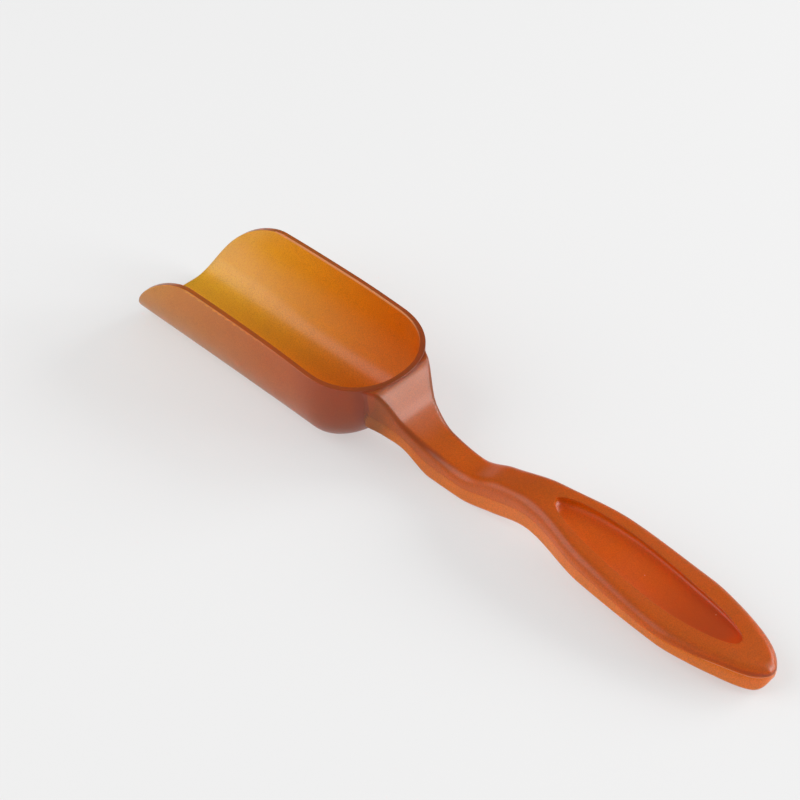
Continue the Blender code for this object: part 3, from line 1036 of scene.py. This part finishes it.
@dataclass(frozen=True)
class EdgeShade:
    """Painted shade where the plastic looks darker, as light crosses more of it, and painted light
    and highlights: values at every point.
    """

    trough: Trough
    handle: Handle
    rim_share: float = 0.85
    highlight_share: float = 0.8
    highlight_span: Pair = (6.0 * MM, 14.0 * MM)
    highlight_reach: float = 0.5 * MM
    highlight_fade: float = 4.0
    floor_light_share: float = 0.34
    floor_light_least: float = 0.25
    floor_light_band: tuple[float, float, float] = (0.25, 0.68, 0.97)
    floor_light_span: Pair = (5.0 * MM, 75.0 * MM)
    wall_share: float = 0.05
    hood_share: float = 0.42
    paddle_share: float = 0.34
    upper_band: Pair = (0.25, 0.7)
    neck_share: float = 0.22
    junction_share: float = 0.6
    junction_span: Pair = (-6.0 * MM, 2.0 * MM)
    junction_depths: Pair = (2.0 * MM, 4.0 * MM)
    junction_slope: float = 0.6
    junction_turn: Pair = (0.0, 0.4)
    neck_span: Pair = (66.0 * MM, 84.0 * MM)
    hood_span: Pair = (86.0 * MM, 101.0 * MM)
    ridge_share: float = 0.85
    ridge_reach: float = 1.3 * MM
    ridge_span: tuple[float, float, float] = (0.76, 0.86, 1.03)
    recess_shares: Pair = (1.0, 0.05)
    butt_share: float = 0.9
    butt_reach: float = 32.0 * MM
    butt_band: float = 0.7
    seam_share: float = 0.9
    seam_reach: float = 19.0 * MM
    back_share: float = 0.85
    back_span: Pair = (8.0 * MM, 42.0 * MM)
    patch_share: float = 1.0
    patch_span: Pair = (3.0 * MM, 11.0 * MM)
    surface_play: Pair = (0.9, 1.07)

    def ridge(self, x: float, y: float, z: float) -> float:
        """Shade along the edge between the hood's top and its side.

        Args:
            x: Place along the scoop, from the butt.
            y: Place across it.
            z: Height.

        Returns:
            The shade, 0 away from the edge.
        """
        start, full, end = (share * self.trough.start for share in self.ridge_span)
        if not start < x < end:
            return 0.0
        fillet = self.handle.fillet(x)
        aside = abs(y) - (self.handle.half_width(x) - fillet / 2.0)
        above = z - (self.handle.top(x) - fillet / 3.0)
        near = max(1.0 - math.hypot(aside, above) / self.ridge_reach, 0.0)
        return self.ridge_share * min((x - start) / (full - start), 1.0) * near * (2.0 - near)

    def butt(self, x: float, z: float) -> float:
        """Shade of the side above the seam, fading away from the butt.

        Args:
            x: Place along the scoop, from the butt.
            z: Height.

        Returns:
            The shade.
        """
        seam, top = self.handle.seam(x), self.handle.top(x)
        height = (z - seam) / max(top - seam, WALL)
        if not 0.0 < height < 1.0 or x > self.butt_reach:
            return 0.0
        swell = math.sin(math.pi * min(height / self.butt_band, 1.0))
        return self.butt_share * (1.0 - x / self.butt_reach) * swell

    def seam_line(self, x: float, z: float) -> float:
        """Painted highlight along the seam's edges near the butt: how pale they are painted.

        Args:
            x: Place along the scoop, from the butt.
            z: Height.

        Returns:
            The paleness, 0 away from the seam.
        """
        if abs(z - self.handle.seam(x)) > SEAM_LINE:
            return 0.0
        fade = rounding_off(x, (self.seam_reach / 2.0, self.seam_reach))
        return self.seam_share * (1.0 - fade)

    def recess_shade(self, x: float, y: float, z: float) -> float:
        """Painted shade on the thumb recess's floor: how far it is blended to a deeper, redder
        colour, most towards the butt.

        Args:
            x: Place along the scoop, from the butt.
            y: Place across it.
            z: Height.

        Returns:
            The painted shade, 0 away from the floor.
        """
        recess = self.handle.recess
        below = self.handle.top(x) - z
        inside = recess.lip < below < recess.depth(x) + WALL / 2.0
        if abs(y) >= recess.half_width(x) or not inside:
            return 0.0
        first, last = self.recess_shares
        return first + (last - first) * ((x - recess.start) / (recess.end - recess.start))

    def back(self, point: Vector, normal: Vector) -> float:
        """Shade of the trough's outer skin, deepest at the back beside the hood.

        Args:
            point: The point, in the frame's coordinates.
            normal: The surface's normal there.

        Returns:
            The shade, 0 off the outer skin.
        """
        x = point.x - BUTT_X
        centre = self.trough.start + self.trough.back_radius
        rim = self.trough.rim_height(x)
        share = min(max((rim - point.z) / rim, 0.0), DEEPEST_SHARE)
        side = quarter(share, self.trough.section_power)
        heel = quarter(share, self.trough.heel_power)
        along = max(centre - x, 0.0) / (self.trough.back_radius * heel)
        across = abs(point.y) / (self.trough.half_width(x) * side)
        spread = along ** self.trough.plan_power + across ** self.trough.plan_power
        outwards = normal.x * min(x - centre, 0.0) + normal.y * point.y
        outwards -= normal.z * (rim - point.z)
        if outwards <= 0.0 or not self.surface_play[0] < spread < self.surface_play[1]:
            return 0.0
        behind = x - self.trough.start
        fade = rounding_off(behind, self.back_span)
        back = self.back_share + (self.wall_share - self.back_share) * fade
        return max(back, self.patch_share * (1.0 - rounding_off(behind, self.patch_span)))

    def edge_highlight(self, x: float, y: float, z: float) -> float:
        """Painted highlight on the rim: place across it, 1 at the edge that faces the left side and
        -1 at the other one.

        Args:
            x: Place along the scoop, from the butt.
            y: Place across it.
            z: Height.

        Returns:
            The place, 0 away from the rim.
        """
        drop = self.trough.rim_height(x) + WELD - z
        if drop > self.highlight_reach:
            return 0.0
        centre = self.trough.start + self.trough.back_radius
        away = Vector((min(x - centre, 0.0), y))
        if x < centre:
            power = self.trough.plan_power
            along, across = -away.x / self.trough.back_radius, abs(y) / self.trough.half_width(x)
            spread = (along ** power + across ** power) ** (1.0 / power)
            inset = (1.0 - spread) * self.trough.back_radius
        else:
            inset = self.trough.half_width(x) - abs(y)
        if inset > WALL / 2.0:
            return away.normalized().y * (1.0 - 2.0 * inset / WALL)
        clear = rounding_off(x - self.trough.start, self.highlight_span)
        if inset <= -WELD * 10.0:
            return 0.0
        kept = clear * (1.0 - min(drop / WALL * self.highlight_fade, 1.0))
        return self.highlight_share * kept * away.normalized().y * (1.0 - 2.0 * inset / WALL)

    def floor_light(self, point: Vector, normal: Vector) -> float:
        """Painted light: how pale a band along the foot of the trough's inside walls is painted.

        Args:
            point: The point, in the frame's coordinates.
            normal: The surface's normal there.

        Returns:
            The dulling, 0 off the inside.
        """
        x = point.x - BUTT_X
        rim = self.trough.rim_height(x)
        inwards = normal.y * point.y - normal.z * (rim - point.z) < 0.0
        if not inwards or abs(point.y) > self.trough.outline(x, point.z) - WALL / 2.0:
            return 0.0
        share = (rim - point.z) / rim
        start, full, end = self.floor_light_band
        band = min((share - start) / (full - start), (end - share) / (end - full))
        along = rounding_off(x - self.trough.start, self.floor_light_span)
        strength = self.floor_light_least + (1.0 - self.floor_light_least) * along
        return self.floor_light_share * strength * rounding_off(band, (0.0, 1.0))

    def junction(self, x: float, z: float, normal: Vector) -> float:
        """Shade of the grip, the neck and the hood, deepest where the hood meets the trough.

        Args:
            x: Place along the scoop, from the butt.
            z: Height.
            normal: The surface's normal there.

        Returns:
            The shade.
        """
        depth = rounding_off(self.handle.top(x) - z, self.junction_depths)
        steep = max(rounding_off(self.junction_slope - normal.z, self.junction_turn), depth)
        near = rounding_off(x - self.trough.start, self.junction_span)
        hood = (self.hood_share - self.neck_share) * rounding_off(x, self.hood_span)
        narrowed = rounding_off(x, self.neck_span)
        grip = self.paddle_share + (self.neck_share - self.paddle_share) * narrowed
        seam = self.handle.seam(x)
        upper = rounding_off((z - seam) / max(self.handle.top(x) - seam, WALL), self.upper_band)
        return max(self.junction_share * steep * near, grip * upper + hood)

    def paint(self, obj: bpy.types.Object) -> None:
        """Store the painted shade and light on the mesh and put every face in the first material.

        Args:
            obj: The moulding; faces of its second material are the rim.
        """
        mesh = obj.data
        rim = np.zeros(len(mesh.vertices))
        count = np.zeros(len(mesh.vertices))
        # Painted shade: the rim's faces are darkened.
        for face in mesh.polygons:
            for index in face.vertices:
                rim[index] += self.rim_share * (face.material_index == 1)
                count[index] += 1.0
            face.material_index = 0
        shade = rim / np.maximum(count, 1.0)
        recess_shade, edge_highlight, floor_light = (np.zeros(len(shade)) for _ in range(3))
        for i, vert in enumerate(mesh.vertices):
            x, y, z = vert.co.x - BUTT_X, vert.co.y, vert.co.z
            shade[i] = max(shade[i], self.ridge(x, y, z), self.butt(x, z))
            recess_shade[i] = self.recess_shade(x, y, z)
            # Painted highlights along the seam's edges and, past the trough's start, along the rim's
            # edge.
            edge_highlight[i] = self.seam_line(x, z)
            if x > self.trough.start:
                shade[i] = max(shade[i], self.back(vert.co, vert.normal))
                edge_highlight[i] = self.edge_highlight(x, y, z)
                floor_light[i] = self.floor_light(vert.co, vert.normal)
            outside = x < self.trough.start or abs(y) > self.trough.outline(x, z)
            if outside and recess_shade[i] == 0.0:
                shade[i] = max(shade[i], self.junction(x, z, vert.normal))
        stored = {SHADE: shade, RECESS_SHADE: recess_shade, EDGE_HIGHLIGHT: edge_highlight, FLOOR_LIGHT: floor_light}
        for name, values in stored.items():
            attribute = mesh.attributes.new(name, "FLOAT", "POINT")
            attribute.data.foreach_set("value", values.astype(np.float32))


@dataclass(frozen=True)
class ScoopBody:
    """The upper moulding: trough, hood and the handle's upper shell."""

    trough: Trough
    handle: Handle
    plastic: AmberPlastic

    def build(self) -> bpy.types.Object:
        """Model, dress and place the moulding.

        Returns:
            The finished piece.
        """
        body = self.trough.shell("scoop_body_skin")
        grip = self.handle.upper_form()
        Modeller.combine(grip, self.handle.upper_hollow(), BooleanKind.CUT)
        Modeller.combine(grip, self.trough.block("trough_plug", WALL / 2.0), BooleanKind.CUT)
        Modeller.combine(body, grip, BooleanKind.JOIN)
        Modeller.smooth(body)
        EdgeShade(self.trough, self.handle).paint(body)
        body.data.materials.clear()
        body.data.materials.append(self.plastic.make())
        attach(body, "root")
        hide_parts("scoop_body")
        return body


@dataclass(frozen=True)
class HandleBack:
    """The lower moulding: the tray that closes the handle, with its tongue inside the seam."""

    trough: Trough
    handle: Handle
    plastic: AmberPlastic

    def build(self) -> bpy.types.Object:
        """Model, dress and place the moulding.

        Returns:
            The finished piece.
        """
        back = self.handle.lower_form("handle_back_skin")
        Modeller.combine(back, self.handle.tongue_form(), BooleanKind.JOIN)
        Modeller.combine(back, self.handle.lower_hollow(), BooleanKind.CUT)
        Modeller.combine(back, self.trough.block("trough_clearance", -SEAM_LINE), BooleanKind.CUT)
        Modeller.smooth(back)
        EdgeShade(self.trough, self.handle).paint(back)
        back.data.materials.clear()
        back.data.materials.append(self.plastic.make())
        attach(back, "root")
        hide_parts("handle_back")
        return back


@dataclass(frozen=True)
class Viewpoint:
    """The camera, placed by the photograph's angle."""

    elevation: float = math.radians(42.39)
    heading: float = math.radians(46.83)
    roll: float = math.radians(0.98)
    distance: float = 411.3 * MM
    aside: float = 9.47 * MM
    above: float = -16.20 * MM
    lens: float = 77.5
    sensor: float = 36.0

    def build(self) -> bpy.types.Object:
        """Create the camera and make it the scene's.

        Returns:
            The camera.
        """
        level = Vector((math.cos(self.heading), -math.sin(self.heading), 0.0))
        across = Vector((-math.sin(self.heading), -math.cos(self.heading), 0.0))
        upright = Vector((0.0, 0.0, 1.0))
        forward = level * math.cos(self.elevation) - upright * math.sin(self.elevation)
        rise = level * math.sin(self.elevation) + upright * math.cos(self.elevation)
        right = across * math.cos(self.roll) + rise * math.sin(self.roll)
        up = rise * math.cos(self.roll) - across * math.sin(self.roll)
        bpy.ops.object.camera_add()
        camera = bpy.context.object
        camera.name = "photo_camera"
        camera.data.sensor_width = self.sensor
        camera.data.lens = self.lens
        camera.matrix_world = Matrix((right, up, -forward)).transposed().to_4x4()
        camera.location = -forward * self.distance - right * self.aside - up * self.above
        bpy.context.scene.camera = camera
        return camera


@dataclass(frozen=True)
class Softbox:
    """A round lamp that looks at the scoop from a direction."""

    name: str
    towards: tuple[float, float, float]
    distance: float
    size: float
    power: float

    def build(self) -> bpy.types.Object:
        """Create the lamp.

        Returns:
            The lamp.
        """
        place = Vector(self.towards).normalized() * self.distance
        bpy.ops.object.light_add(type="AREA", location=place)
        lamp = bpy.context.object
        lamp.name = self.name
        lamp.data.shape = "DISK"
        lamp.data.size = self.size
        lamp.data.energy = self.power
        lamp.rotation_euler = (-place).to_track_quat("-Z", "Y").to_euler()
        return lamp


@dataclass(frozen=True)
class Studio:
    """A pale table in soft light."""

    table_size: float = 6.0
    table_colour: Colour = (0.36, 0.36, 0.36, 1.0)
    table_glow: float = 0.435
    table_roughness: float = 0.8
    sky_strength: float = 0.52
    sky_mirrored: float = 0.05
    sky_seen: float = 0.34
    lamps: tuple[Softbox, ...] = (
        Softbox("back_softbox", (-0.38, -0.8, 0.42), 1.2, 0.7, 8.0),
        Softbox("right_softbox", (-0.8, -0.52, 0.28), 1.2, 0.6, 8.5),
        Softbox("left_softbox", (0.5, 0.62, 0.55), 1.2, 1.3, 10.5),
    )

    def build(self) -> None:
        """Create the table, the sky and the lamps."""
        bpy.context.scene.view_settings.view_transform = "Standard"
        Modeller.clear_selection()
        bpy.ops.mesh.primitive_plane_add(size=self.table_size)
        table = bpy.context.object
        table.name = "table"
        material = bpy.data.materials.new("table_paper")
        material.use_nodes = True
        shader = material.node_tree.nodes["Principled BSDF"]
        shader.inputs[ShaderInput.COLOUR.value].default_value = self.table_colour
        shader.inputs[ShaderInput.ROUGHNESS.value].default_value = self.table_roughness
        shader.inputs[ShaderInput.SHINE.value].default_value = 0.0
        shader.inputs["Emission Color"].default_value = (1.0, 1.0, 1.0, 1.0)
        shader.inputs["Emission Strength"].default_value = self.table_glow
        table.data.materials.append(material)
        world = bpy.data.worlds.new("soft_sky")
        world.use_nodes = True
        graph = ShaderGraph(world.node_tree)
        rays = graph.node("ShaderNodeLightPath").outputs
        passed = graph.maths("SUBTRACT", 1.0, rays["Is Transmission Ray"])
        mirrored = graph.maths("MULTIPLY", rays["Is Glossy Ray"], passed)
        sky = world.node_tree.nodes["Background"]
        graph.feed(sky.inputs["Color"], (1.0, 1.0, 1.0, 1.0))
        lit = graph.span(mirrored, 0.0, 1.0, (self.sky_strength, self.sky_mirrored))
        seen = graph.maths("MULTIPLY", rays["Is Camera Ray"], self.sky_seen)
        graph.feed(sky.inputs["Strength"], graph.maths("ADD", lit, seen))
        world.cycles.sampling_method = "NONE"
        bpy.context.scene.world = world
        for lamp in self.lamps:
            lamp.build()


def report(build: Callable[[], bpy.types.Object]) -> None:
    """Build a piece and log its name and face count.

    Args:
        build: The piece's build method.
    """
    piece = build()
    log.info("%s: %d faces", piece.name, len(piece.data.polygons))


def main() -> None:
    """Build the studio and both mouldings."""
    Viewpoint().build()
    Studio().build()
    trough = Trough()
    handle = Handle(trough, Recess())
    amber = AmberPlastic("amber_plastic_look", (0.82, 0.2, 0.002, 1.0), (1.0, 0.68, 0.025, 1.0))
    # Painted light: the lower shell gets a paler copy of the plastic, for the light glowing through
    # the handle's lower sides.
    pale = AmberPlastic(
        "pale_amber_plastic_look", (0.92, 0.29, 0.004, 1.0), (1.0, 0.74, 0.03, 1.0),
        transmission=0.6,
    )
    report(ScoopBody(trough, handle, amber).build)
    report(HandleBack(trough, handle, pale).build)


if __name__ == "__main__":
    main()
